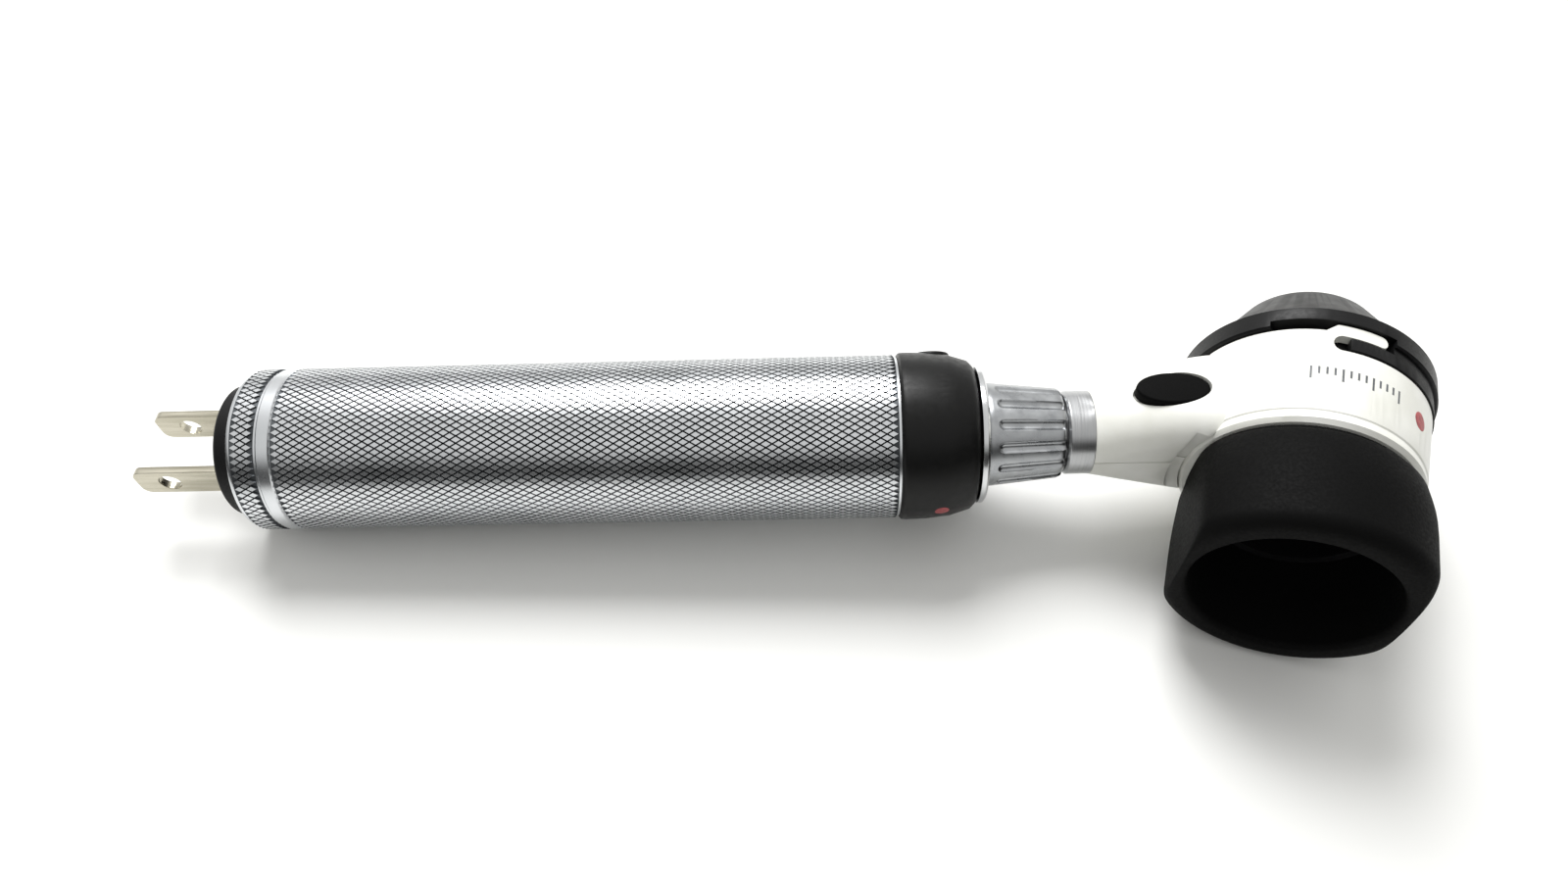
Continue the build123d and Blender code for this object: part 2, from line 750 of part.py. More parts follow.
with BuildPart() as switch_board:
    with BuildSketch(upward_spot(0, (board_low + board_high) / 2).offset(board_seat)):
        RectangleRounded(board_high - board_low, 6.0, 0.5)
    extrude(amount=0.8)
finish(switch_board, "switch_board")

with BuildPart() as button_switch:
    block(BUTTON, 5.0, 5.0, board_seat + 0.8, switch_top - 0.5)
    drill(BUTTON, 1.2, switch_top - 0.5, switch_top, Mode.ADD)
finish(button_switch, "button_switch")

# ---------------------------------------------------------------- lamp board
with BuildPart() as led_board:
    head_turn(*ring_outline(board_bore, board_radius, shelf_rear - board_thickness, shelf_rear))
    for angle in screw_angles:
        drill(round_spot(angle), screw_radius, shelf_rear - board_thickness, shelf_rear)
finish(led_board, "led_board")

board_face = shelf_rear - board_thickness
led_spread = 120.0
for name, first in (("led_bank_plain", 0.0), ("led_bank_polarised", 60.0)):
    with BuildPart() as led_bank:
        for index in range(3):
            centre = round_spot(first + led_spread * index)
            block(centre, led_size, led_size, board_face - led_height, board_face)
    finish(led_bank, name)

with BuildPart() as board_screws:
    for angle in screw_angles:
        centre = round_spot(angle)
        drill(centre, screw_radius, board_face, shelf_rear + 2.2, Mode.ADD)
        drill(centre, screw_head_radius, board_face - 0.9, board_face, Mode.ADD)
        drill(centre, 0.5, board_face - 0.9, board_face - 0.4)
finish(board_screws, "board_screws")

wire_start = HANDLE.from_local_coords((0, 0, head_pin_end))
wire_bend = HANDLE.from_local_coords((0, 0, head_pin_end + 3.0))
wire_entry = WIRE.from_local_coords((0, 0, 27.0))
wire_turn = WIRE.from_local_coords((0, 0, wire_pad_radius))
wire_end = WIRE_PAD.from_local_coords((0, 0, shelf_rear))
with BuildPart() as supply_wire:
    with BuildLine() as route:
        FilletPolyline(wire_start, wire_bend, wire_entry, wire_turn, wire_end, radius=[1.2, 1.5, 0.6])
    with BuildSketch(Plane(origin=wire_start, z_dir=HANDLE.z_dir)):
        Circle(wire_radius)
    sweep()
finish(supply_wire, "supply_wire")

# ---------------------------------------------------------------- lens barrel
shoulder = barrel_rear + 1.0
barrel_front = barrel_rear + barrel_length
front_lens_edge = shoulder + 1.0
lens_edge = 2.0
spacer_length = 2.5
rear_lens_edge = front_lens_edge + lens_edge + spacer_length
retainer_start = rear_lens_edge + lens_edge
with BuildPart() as lens_barrel:
    head_turn(
        (lens_radius - 1.1, shoulder),
        (lens_radius - 1.1, front_lens_edge),
        (lens_radius, front_lens_edge),
        (lens_radius, barrel_front),
        (barrel_radius - 0.2, barrel_front),
        (barrel_radius, barrel_front - 0.2),
        (barrel_radius, barrel_rear),
        (lens_radius + 0.3, barrel_rear),
    )
    groove = Plane(origin=HEAD.origin, x_dir=HEAD.z_dir, z_dir=-HEAD.x_dir)
    middle = barrel_rear + barrel_length / 2
    with BuildSketch(groove.offset(barrel_radius - 0.8)):
        with Locations((middle, 0)):
            Rectangle(barrel_length + 1.0, 2 * guide_pin_radius + 0.2)
    extrude(amount=2.0, mode=Mode.SUBTRACT)
finish(lens_barrel, "lens_barrel")

with BuildPart() as guide_pin:
    drill(GUIDE, guide_pin_radius, barrel_radius - 0.5, guide_pin_end, Mode.ADD)
finish(guide_pin, "guide_pin")


def cap_height(bulge):
    """Height of a lens's surface over its rim, half way out from the middle."""
    curve = (lens_clear_radius**2 + bulge**2) / (2 * bulge)
    return bulge - curve + (curve**2 - lens_clear_radius**2 / 4) ** 0.5


def lens_outline(edge_low, rear_bulge, front_bulge):
    """Outline of half a lens: two round faces, a flat rim on each, and the edge."""
    edge_high = edge_low + lens_edge
    half = lens_clear_radius / 2
    rear_rim = (lens_clear_radius, edge_low)
    front_rim = (lens_clear_radius, edge_high)
    ThreePointArc((0, edge_low - rear_bulge), (half, edge_low - cap_height(rear_bulge)), rear_rim)
    Polyline(rear_rim, (lens_radius, edge_low), (lens_radius, edge_high), front_rim)
    ThreePointArc(front_rim, (half, edge_high + cap_height(front_bulge)), (0, edge_high + front_bulge))
    Line((0, edge_high + front_bulge), (0, edge_low - rear_bulge))


for name, edge_low, rear_bulge, front_bulge in (
    ("lens_skin_side", front_lens_edge, 1.3, 1.3),
    ("lens_eye_side", rear_lens_edge, 0.7, 1.6),
):
    with BuildPart() as lens:
        with BuildSketch(HEAD_SIDE):
            with BuildLine():
                lens_outline(edge_low, rear_bulge, front_bulge)
            make_face()
        revolve(axis=HEAD_AXIS)
    finish(lens, name)

with BuildPart() as lens_spacer:
    head_turn(*ring_outline(lens_radius - 0.9, lens_radius, front_lens_edge + lens_edge, rear_lens_edge))
finish(lens_spacer, "lens_spacer")

with BuildPart() as lens_retainer:
    head_turn(*ring_outline(lens_radius - 1.3, lens_radius, retainer_start, retainer_start + 2.0))
    block(HEAD, 2 * lens_radius + 2.0, 1.2, retainer_start + 1.0, retainer_start + 2.5, Mode.SUBTRACT)
finish(lens_retainer, "lens_retainer")

# ---------------------------------------------------------------- focus sleeve, its ring and the eyecup
sleeve_bore = barrel_radius + free_gap
guide_floor = sleeve_radius - 0.9
with BuildPart() as focus_sleeve:
    head_turn(
        (sleeve_bore, shelf_front + free_gap),
        (sleeve_radius, shelf_front + free_gap),
        (sleeve_radius, ring_guide_start - 0.15),
        (guide_floor, ring_guide_start - 0.15),
        (guide_floor, ring_guide_end + 0.15),
        (sleeve_radius, ring_guide_end + 0.15),
        (sleeve_radius, focus_front),
        (sleeve_bore, focus_front),
    )
finish(focus_sleeve, "focus_sleeve")

with BuildPart() as retaining_ring:
    head_turn(
        *ring_outline(guide_floor + 0.3, ring_guide_radius, ring_guide_start, ring_guide_end),
        start=12.0,
        arc=336.0,
    )
finish(retaining_ring, "retaining_ring")

eyecup_start = housing_front + free_gap
with BuildPart() as eyecup:
    head_turn(
        (sleeve_radius, eyecup_start),
        (19.0, eyecup_start),
        (19.2, eyecup_start + 0.6),
        (20.4, eyecup_start + 1.8),
        (eyecup_radius, eyecup_start + 8.0),
        (eyecup_radius, eyecup_end - 3.0),
        (eyecup_radius - 0.9, eyecup_end - 0.9),
        (eyecup_lip_radius, eyecup_end),
        (17.6, eyecup_end - 0.3),
        (16.8, eyecup_end - 1.6),
        (15.4, focus_front + 3.0),
        (14.4, focus_front),
        (sleeve_radius, focus_front),
    )
    for side in (1, -1):
        wall = Plane(origin=HEAD.origin, x_dir=HEAD.z_dir, z_dir=HEAD.y_dir * side)
        with BuildSketch(wall.offset(eyecup_flat)) as outside:
            with Locations((eyecup_start + 15.0, 0)):
                Rectangle(40.0, 60.0)
        extrude(amount=10.0, mode=Mode.SUBTRACT)
finish(eyecup, "eyecup")

# ---------------------------------------------------------------- contact cap, its glass and seal
recess_low = hook_top - 0.3
recess_high = hook_bottom + 0.3
lug_start = 1.5
spigot_bore = spigot_radius - spigot_wall
spigot_end = shelf_rear - 0.4
fill_radius = 21.3
seal_middle = 0.65
seal_groove = 1.1
seal_depth = 0.6
seal_wire = 0.41
with BuildPart() as contact_cap:
    head_turn(
        (spigot_bore, spigot_end),
        (spigot_radius, spigot_end),
        (spigot_radius, high_rim - 0.4),
        (rest_radius - 0.3, high_rim - 0.4),
        (rest_radius, high_rim - 0.7),
        (rest_radius, cap_step + 0.3),
        (rest_radius - 0.3, cap_step),
        (cap_cone_radius, cap_step),
        (cap_end_radius, cap_end + 0.8),
        (cap_end_radius - 0.8, cap_end),
        (glass_radius, cap_end),
        (glass_radius, cap_end + glass_thickness),
        (glass_radius - 0.8, cap_end + glass_thickness),
        (cap_cone_radius - cap_wall - 1.0, cap_step),
    )
    for turned, sweep_angle in zip(bayonet_turns, cap_fill_sweeps):
        head_turn(
            *ring_outline(spigot_radius - 0.2, fill_radius, high_rim - 0.6, low_rim - 0.35),
            start=turned - lug_start - sweep_angle,
            arc=sweep_angle,
        )
        head_turn(
            *ring_outline(spigot_radius, rest_radius + 1.0, recess_low, recess_high),
            start=turned - hook_tip_angle - hook_tip_room,
            arc=hook_tip_angle + hook_tip_room + hook_root_angle + cap_twist + 1.5,
            mode=Mode.SUBTRACT,
        )
    head_turn(
        *ring_outline(
            spigot_radius - seal_depth,
            spigot_radius + 1.0,
            seal_middle - seal_groove / 2,
            seal_middle + seal_groove / 2,
        ),
        mode=Mode.SUBTRACT,
    )
finish(contact_cap, "contact_cap")

with BuildPart() as cap_seal:
    with BuildSketch(HEAD_SIDE):
        with Locations((spigot_radius - seal_depth + seal_wire + 0.02, seal_middle)):
            Circle(seal_wire)
    revolve(axis=HEAD_AXIS)
finish(cap_seal, "cap_seal")

with BuildPart() as contact_glass:
    head_turn(
        (0.0, cap_end),
        (glass_radius - 0.2, cap_end),
        (glass_radius, cap_end + 0.2),
        (glass_radius, cap_end + glass_thickness),
        (0.0, cap_end + glass_thickness),
    )
finish(contact_glass, "contact_glass")
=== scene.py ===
import json

import bmesh
import bpy
import numpy as np
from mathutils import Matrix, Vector


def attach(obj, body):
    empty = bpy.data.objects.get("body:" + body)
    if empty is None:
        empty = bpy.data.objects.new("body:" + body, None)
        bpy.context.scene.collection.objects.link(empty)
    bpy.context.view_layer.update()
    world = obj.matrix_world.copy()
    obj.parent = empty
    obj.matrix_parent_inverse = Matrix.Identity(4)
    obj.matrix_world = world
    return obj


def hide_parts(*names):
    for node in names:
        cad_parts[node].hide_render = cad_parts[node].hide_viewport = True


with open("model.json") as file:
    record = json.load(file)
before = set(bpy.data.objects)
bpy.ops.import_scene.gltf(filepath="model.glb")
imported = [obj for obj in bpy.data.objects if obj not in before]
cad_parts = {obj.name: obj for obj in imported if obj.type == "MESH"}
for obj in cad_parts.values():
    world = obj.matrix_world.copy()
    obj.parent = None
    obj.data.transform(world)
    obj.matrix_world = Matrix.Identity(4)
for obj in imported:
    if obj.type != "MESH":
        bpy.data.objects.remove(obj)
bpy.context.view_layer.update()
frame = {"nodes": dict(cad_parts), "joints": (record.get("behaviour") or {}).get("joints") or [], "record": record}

# ------------------------------------------------------------ the two axes that everything is turned about
# The handle is a round bar from the mains plug to the neck, and the head is a round drum with its own
# optical axis across it. Both axes come from the joints, so each turned piece sits where the CAD has it.
mm = 0.001
joints = {joint["name"]: joint for joint in frame["joints"]}
straight_up = np.array((0.0, 0.0, 1.0))


def axis_frame(point, along, up):
    """Origin and three directions: up square to the axis, across = along x up, and along the axis."""
    along = np.array(along) / np.linalg.norm(along)
    up = up - (up @ along) * along
    up = up / np.linalg.norm(up)
    return {"origin": np.array(point), "up": up, "across": np.cross(along, up), "along": along}


handle_line = axis_frame(joints["end_ring_turn"]["pos_m"], joints["dimmer_turn"]["axis"], straight_up)
optical_line = axis_frame(joints["focus_turn"]["pos_m"], joints["focus_turn"]["axis"], straight_up)


def on_axis(line, radius, angle, station):
    """Points in metres from radius and station in mm: origin + station along + radius turned by angle."""
    radius, angle, station = np.broadcast_arrays(radius, angle, station)
    spoke = np.cos(angle)[..., None] * line["up"] + np.sin(angle)[..., None] * line["across"]
    return line["origin"] + mm * (radius[..., None] * spoke + station[..., None] * line["along"])


# ------------------------------------------------------------ camera
# A phone held above and in front of the object, about in line with the middle of the handle.
camera_data = bpy.data.cameras.new("phone_camera")
camera_data.lens = 26.03
camera = bpy.data.objects.new("phone_camera", camera_data)
camera_station = 97.75
camera_offset = np.array((0.0, -122.3, 171.3)) * mm
camera.location = on_axis(handle_line, 0.0, 0.0, camera_station) + camera_offset
camera.rotation_euler = (np.radians(35.4), 0.0, 0.0)
bpy.context.scene.collection.objects.link(camera)
bpy.context.scene.camera = camera

# ------------------------------------------------------------ knurled handle tube
# A brass tube with a diamond knurl rolled into it, then chromed. The knurl stops at a smooth turned
# band beside the end ring. Rolled diamonds have small flat tops with narrow grooves between them.
knurl_starts = 74           # diamonds round the tube
knurl_length = 2.2          # one diamond along the tube
knurl_depth = 0.3
knurl_top = 0.76            # share of each diamond that stays flat
tube_radius = 15.0
tube_bore = 13.4
ring_end = 5.4
tube_begin = 5.5
tube_finish = 118.55
band_width = 2.2


def linear(hex_colour):
    """An sRGB hex colour as linear RGBA."""
    share = np.array([int(hex_colour[i:i + 2], 16) / 255 for i in (1, 3, 5)])
    value = np.where(share <= 0.04045, share / 12.92, ((share + 0.055) / 1.055) ** 2.4)
    return (*value.tolist(), 1.0)


def add_node(tree, kind, settings=None, inputs=None):
    """Add one node. Settings are its properties, and inputs are values or the sockets that feed it."""
    made = tree.nodes.new(kind)
    for name, value in (settings or {}).items():
        setattr(made, name, value)
    for name, value in (inputs or {}).items():
        if isinstance(value, bpy.types.NodeSocket):
            tree.links.new(value, made.inputs[name])
        else:
            made.inputs[name].default_value = value
    return made


def new_material(name, inputs):
    """A material with one shader, whose sockets take the given values."""
    material = bpy.data.materials.new(name)
    material.use_nodes = True
    shader = material.node_tree.nodes["Principled BSDF"]
    for socket, value in inputs.items():
        shader.inputs[socket].default_value = value
    return material, material.node_tree, shader


def uneven(tree, shader, patch, detail=3.0, roughness=None, colours=None, relief=None):
    """Let one noise, fixed to the piece, make a finish uneven.

    Its patches are a real size in millimetres, or three scales per metre where they are drawn out. It moves
    the roughness between two values, mixes two colours, and raises the surface by a relief in millimetres.
    """
    vector = add_node(tree, "ShaderNodeTexCoord").outputs["Object"]
    if isinstance(patch, tuple):
        drawn_out = add_node(tree, "ShaderNodeMapping", inputs={"Vector": vector, "Scale": patch})
        vector = drawn_out.outputs["Vector"]
        scale = 1.0
    else:
        scale = 1.0 / (patch * mm)
    noise = add_node(
        tree, "ShaderNodeTexNoise", inputs={"Vector": vector, "Scale": scale, "Detail": detail}
    ).outputs["Fac"]
    if roughness:
        low, high = roughness
        limits = {"From Min": 0.3, "From Max": 0.7, "To Min": low, "To Max": high}
        spread = add_node(tree, "ShaderNodeMapRange", inputs={"Value": noise, **limits})
        tree.links.new(spread.outputs["Result"], shader.inputs["Roughness"])
    if colours:
        ramp = add_node(tree, "ShaderNodeValToRGB", inputs={"Fac": noise})
        for stop, position, colour in zip(ramp.color_ramp.elements, (0.35, 0.65), colours):
            stop.position = position
            stop.color = linear(colour)
        tree.links.new(ramp.outputs["Color"], shader.inputs["Base Color"])
    if relief:
        bump = add_node(
            tree, "ShaderNodeBump", inputs={"Height": noise, "Distance": relief * mm, "Strength": 1.0}
        )
        tree.links.new(bump.outputs["Normal"], shader.inputs["Normal"])


def place_piece(name, mesh, body, material, sharp):
    """Shade a finished mesh smooth up to an angle, and let it ride on its body."""
    mesh.polygons.foreach_set("use_smooth", np.ones(len(mesh.polygons), bool))
    mesh.set_sharp_from_angle(angle=np.radians(sharp))
    mesh.materials.append(material)
    piece = bpy.data.objects.new(name, mesh)
    bpy.context.scene.collection.objects.link(piece)
    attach(piece, body)
    return piece


def new_piece(name, points, faces, body, material, sharp=35.0):
    """A closed mesh from an array of points and lists of faces, with its faces turned outwards."""
    mesh = bpy.data.meshes.new(name)
    mesh.from_pydata(points.reshape(-1, 3).tolist(), [], faces)
    solid = bmesh.new()
    solid.from_mesh(mesh)
    bmesh.ops.remove_doubles(solid, verts=solid.verts, dist=1e-6)
    bmesh.ops.recalc_face_normals(solid, faces=solid.faces)
    solid.to_mesh(mesh)
    solid.free()
    return place_piece(name, mesh, body, material, sharp)


def grid_faces(rows, columns, first=0, close_rows=False):
    """Quads of a grid whose columns close on themselves, and whose rows may too."""
    row = np.arange(rows if close_rows else rows - 1)[:, None] * columns
    column = np.arange(columns)[None, :]
    after = (column + 1) % columns
    above = (row + columns) % (rows * columns)
    quads = np.stack((row + column, row + after, above + after, above + column), axis=-1)
    return (quads.reshape(-1, 4) + first).tolist()


def knurled_shell(start, finish, before, after):
    """A closed ring whose outside is a diamond lattice.

    The lattice has groove crossings at every other point of a grid in angle and station. Each diamond
    between four crossings has a flat top, which is the diamond shrunk about its middle and raised to
    the outer radius. Plain turned rings (radius, station) lead on from the last row round to the first.
    """
    steps = 2 * int(round((finish - start) / knurl_length))
    turn = np.pi / knurl_starts
    pitch = (finish - start) / steps
    k, l = np.meshgrid(np.arange(2 * knurl_starts), np.arange(steps + 1))
    groove = on_axis(handle_line, tube_radius - knurl_depth, k * turn, start + l * pitch)
    rows, columns = k.shape
    index = (l * columns + k).astype(int)
    middle = ((k + l) % 2 == 1) & (l > 0) & (l < steps)
    mk, ml = k[middle], l[middle]
    corners = [(1, 0), (0, 1), (-1, 0), (0, -1)]
    tops = np.stack(
        [
            on_axis(
                handle_line, tube_radius, (mk + knurl_top * dk) * turn, start + (ml + knurl_top * dl) * pitch
            )
            for dk, dl in corners
        ],
        axis=1,
    )
    around = np.stack([index[ml + dl, (mk + dk) % columns] for dk, dl in corners], axis=1)
    top_first = rows * columns
    top_index = top_first + np.arange(4 * len(mk)).reshape(-1, 4)
    faces = top_index.tolist()
    for side in range(4):
        other = (side + 1) % 4
        walls = (around[:, side], around[:, other], top_index[:, other], top_index[:, side])
        faces += np.stack(walls, axis=1).tolist()
    even = np.arange(0, columns, 2)
    for edge, inner in ((0, 1), (steps, steps - 1)):
        first = index[edge, even]
        second = index[edge, (even + 2) % columns]
        faces += np.stack((first, second, index[inner, even + 1]), axis=1).tolist()
    rings = np.array(after + before)
    angle = even * turn
    plain = on_axis(handle_line, rings[:, :1], angle[None, :], rings[:, 1:])
    plain_first = top_first + 4 * len(mk)
    chain = [index[steps, even]]
    chain += [plain_first + ring * knurl_starts + np.arange(knurl_starts) for ring in range(len(rings))]
    chain += [index[0, even]]
    for low, high in zip(chain[:-1], chain[1:]):
        faces += np.stack((low, np.roll(low, -1), np.roll(high, -1), high), axis=1).tolist()
    points = np.concatenate((groove.reshape(-1, 3), tops.reshape(-1, 3), plain.reshape(-1, 3)))
    used = np.unique(np.concatenate([np.array(face) for face in faces]))
    renumber = np.zeros(len(points), int)
    renumber[used] = np.arange(len(used))
    return points[used], [renumber[face].tolist() for face in faces]


# Bright chrome over brass: a neutral mirror, slightly dulled by handling.
chromed_knurl, tree, shader = new_material(
    "chromed_brass_knurl", {"Base Color": linear("#D9DCDF"), "Metallic": 1.0, "Roughness": 0.24}
)
uneven(tree, shader, 14.0, roughness=(0.22, 0.28), colours=("#D3D6D9", "#DEE0E3"))

band_end = tube_begin + band_width
tube_points, tube_faces = knurled_shell(
    band_end + 0.3,
    tube_finish - 0.4,
    before=[
        (tube_radius - 0.2, tube_begin),
        (tube_radius, tube_begin + 0.2),
        (tube_radius, band_end),
        (tube_radius - knurl_depth, band_end + 0.25),
    ],
    after=[
        (tube_radius - knurl_depth - 0.02, tube_finish),
        (tube_bore, tube_finish),
        (tube_bore, tube_begin),
    ],
)
knurled_tube = new_piece(
    "knurled_handle_tube", tube_points, tube_faces, "handle", chromed_knurl
)
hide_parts("handle_tube")

# The groove walls get a darker chrome as painted shade, standing in for the shade and dim reflections down in the
# knurl's grooves.
painted_groove_shade, tree, shader = new_material(
    "chrome_groove_painted_shade", {"Base Color": linear("#55585B"), "Metallic": 1.0, "Roughness": 0.42}
)
uneven(tree, shader, 7.0, colours=("#46494C", "#66696C"))


def paint_groove_shade(piece, start, finish):
    """Give the groove walls the darker chrome of painted shade: the knurl's faces whose middle lies below the flat
    tops.
    """
    mesh = piece.data
    mesh.materials.append(painted_groove_shade)
    centres = np.zeros(len(mesh.polygons) * 3)
    mesh.polygons.foreach_get("center", centres)
    offset = centres.reshape(-1, 3) - handle_line["origin"]
    station = offset @ handle_line["along"] / mm
    radius = np.linalg.norm(offset - np.outer(station * mm, handle_line["along"]), axis=1) / mm
    low = (radius < tube_radius - 0.1) & (radius > tube_radius - 1.0)
    groove = low & (station > start) & (station < finish)
    mesh.polygons.foreach_set("material_index", groove.astype(np.int32))


paint_groove_shade(knurled_tube, band_end + 0.3, tube_finish - 0.4)

# ------------------------------------------------------------ knurled end ring
# The same rolled and chromed brass as the tube. It screws onto the tube's end and holds the plug insert,
# with its outer edge rounded over and a plain spigot inside the tube.
ring_bore = 12.4
spigot_end = 9.4
ring_points, ring_faces = knurled_shell(
    0.75,
    ring_end - 0.35,
    before=[
        (ring_bore, spigot_end),
        (ring_bore, 0.0),
        (tube_radius - 0.75, 0.0),
        (tube_radius - 0.45, 0.12),
        (tube_radius - knurl_depth, 0.5),
    ],
    after=[
        (tube_radius - knurl_depth, ring_end),
        (tube_bore - 0.05, ring_end),
        (tube_bore - 0.05, spigot_end),
    ],
)
knurled_ring = new_piece(
    "knurled_end_ring", ring_points, ring_faces, "end_ring", chromed_knurl
)
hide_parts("end_ring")
# The ring's groove walls take the same painted shade.
paint_groove_shade(knurled_ring, 0.75, ring_end - 0.35)

# ------------------------------------------------------------ mains plug in the handle's end
# A black moulded insert carries two flat brass blades, nickel plated and polished by years of outlets.


def dress(material, *names):
    """Give CAD nodes a finish."""
    for name in names:
        for place in frame["nodes"][name].material_slots:
            place.material = material


body_of = {node: body for body, nodes in frame["record"]["behaviour"]["bodies"].items() for node in nodes}


def soften(node, name, material, edge, sharp=28.0):
    """A copy of a CAD node with its loose triangles merged and its sharp edges rounded a little."""
    mesh = frame["nodes"][node].data.copy()
    mesh.name = name
    mesh.materials.clear()
    solid = bmesh.new()
    solid.from_mesh(mesh)
    bmesh.ops.remove_doubles(solid, verts=solid.verts, dist=2e-6)
    bmesh.ops.dissolve_limit(solid, angle_limit=np.radians(0.4), verts=solid.verts, edges=solid.edges)
    solid.to_mesh(mesh)
    solid.free()
    piece = place_piece(name, mesh, body_of[node], material, sharp)
    rounding = piece.modifiers.new("rounded_edges", "BEVEL")
    rounding.width = edge * mm
    rounding.segments = 2
    rounding.limit_method = "ANGLE"
    rounding.angle_limit = np.radians(sharp)
    rounding.harden_normals = True
    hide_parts(node)
    return piece


# Glass-filled nylon from a spark-eroded mould: black, with a fine dull grain.
moulded_nylon, tree, shader = new_material(
    "moulded_black_nylon",
    {"Base Color": linear("#0B0B0C"), "Roughness": 0.6, "IOR": 1.53, "Specular IOR Level": 0.2},
)
uneven(tree, shader, 0.35, roughness=(0.48, 0.62), relief=0.02)
soften("plug_insert", "moulded_plug_insert", moulded_nylon, 0.15)

# Nickel plate over stamped brass: warm white metal with faint scuffs along the blade.
nickel_plate, tree, shader = new_material(
    "nickel_plated_blades", {"Base Color": linear("#B9B4A4"), "Metallic": 1.0, "Roughness": 0.26}
)
uneven(tree, shader, (60.0, 900.0, 900.0), 4.0, roughness=(0.14, 0.36), colours=("#AEA998", "#C6C1B1"))
soften("plug_blade_front", "front_mains_blade", nickel_plate, 0.15)
soften("plug_blade_back", "back_mains_blade", nickel_plate, 0.15)

# ------------------------------------------------------------ collar with its lock button
# A black moulded collar closes the head end of the tube. Its lock button is raised on the far side, and
# a plain red dot marks where it lines up.

# Polished acetal: black with a soft sheen and a light orange peel.
collar_acetal, tree, shader = new_material(
    "polished_black_acetal",
    {"Base Color": linear("#0B0B0B"), "Roughness": 0.4, "IOR": 1.48, "Specular IOR Level": 0.22},
)
uneven(tree, shader, 1.2, roughness=(0.34, 0.46), relief=0.012)
soften("collar", "black_collar", collar_acetal, 0.1, 40.0)
soften("lock_button", "raised_lock_button", collar_acetal, 0.1)


def disc_on_wall(name, line, spot, radius_at, size, height, body, material):
    """A thin round patch that follows a turned wall, with a domed edge.

    Rings of points spread from the spot (angle, station). Each point stands on the wall's own radius
    at its station, plus a height that falls to below the wall at the rim.
    """
    ring = np.linspace(0.0, 1.0, 9)[1:, None]
    around = np.linspace(0.0, 2 * np.pi, 48, endpoint=False)[None, :]
    station = spot[1] + size * ring * np.sin(around)
    wall = radius_at(station)
    angle = spot[0] + size * ring * np.cos(around) / wall
    lift = height * np.sqrt(1.0 - 0.98 * ring**6)
    outer = on_axis(line, wall + lift, angle, station)
    under = on_axis(line, wall - height, angle, station)[-1:]
    centres = on_axis(
        line,
        np.array((radius_at(spot[1]) + height, radius_at(spot[1]) - height)),
        np.array((spot[0], spot[0])),
        np.array((spot[1], spot[1])),
    )
    rows = len(ring) + 1
    columns = around.shape[1]
    points = np.concatenate((outer.reshape(-1, 3), under.reshape(-1, 3), centres))
    faces = grid_faces(rows, columns)
    last = (rows - 1) * columns
    top = rows * columns
    faces += [[column, (column + 1) % columns, top] for column in range(columns)]
    faces += [[last + column, last + (column + 1) % columns, top + 1] for column in range(columns)]
    return new_piece(name, points, faces, body, material)


# Pad-printed enamel: a muted red, a little glossy, worn thin in patches.
red_enamel, tree, shader = new_material(
    "red_index_enamel", {"Base Color": linear("#A33A3E"), "Roughness": 0.42, "IOR": 1.5}
)
uneven(tree, shader, 0.8, colours=("#8E3236", "#B4484B"))


def collar_wall(station):
    """The collar's outer radius along its gently tapering side."""
    return np.interp(station, (123.45, 127.95, 131.45), (15.3, 14.8, 13.7))


disc_on_wall(
    "collar_index_dot",
    handle_line,
    (np.radians(100.0), 126.0),
    collar_wall,
    1.3,
    0.05,
    "handle",
    red_enamel,
)

# ------------------------------------------------------------ flange ring
# A thin turned steel washer, polished, that the dial runs against.
polished_steel, tree, shader = new_material(
    "polished_steel", {"Base Color": linear("#D5D6D8"), "Metallic": 1.0, "Roughness": 0.16}
)
uneven(tree, shader, 3.0, roughness=(0.12, 0.24))
soften("flange_ring", "polished_flange_ring", polished_steel, 0.12)

# ------------------------------------------------------------ brightness dial
# A tapered chromed ring with fourteen milled flutes. Each flute starts with the cutter's round end and
# runs out at the narrow end of the dial.
dial_begin = 134.45
dial_length = 14.0
dial_wide = 9.6
dial_narrow = 8.2
flutes = 14
flute_radius = 1.0
flute_height = 0.35
flute_begin = dial_begin + 1.6
core_radius = 5.65


def fluted_radius(angle, station):
    """The dial's outer radius.

    A cone, less what a round cutter takes at each flute: the cutter's centre height less the root of its
    radius squared less the sideways distance squared. Near its start the cutter's radius shrinks as a
    ball's does.
    """
    share = (station - dial_begin) / dial_length
    cone = dial_wide + (dial_narrow - dial_wide) * share
    step = 2 * np.pi / flutes
    offset = (angle + step / 2) % step - step / 2
    sideways = (cone + flute_height) * np.sin(offset)
    before_ball = np.clip(flute_begin + flute_radius - station, 0.0, flute_radius)
    cutter = np.sqrt(flute_radius**2 - before_ball**2)
    bottom = (cone + flute_height) * np.cos(offset) - np.sqrt(np.clip(cutter**2 - sideways**2, 0.0, None))
    cut = (np.abs(sideways) < cutter) & (station > flute_begin)
    return np.where(cut, np.minimum(cone, bottom), cone)


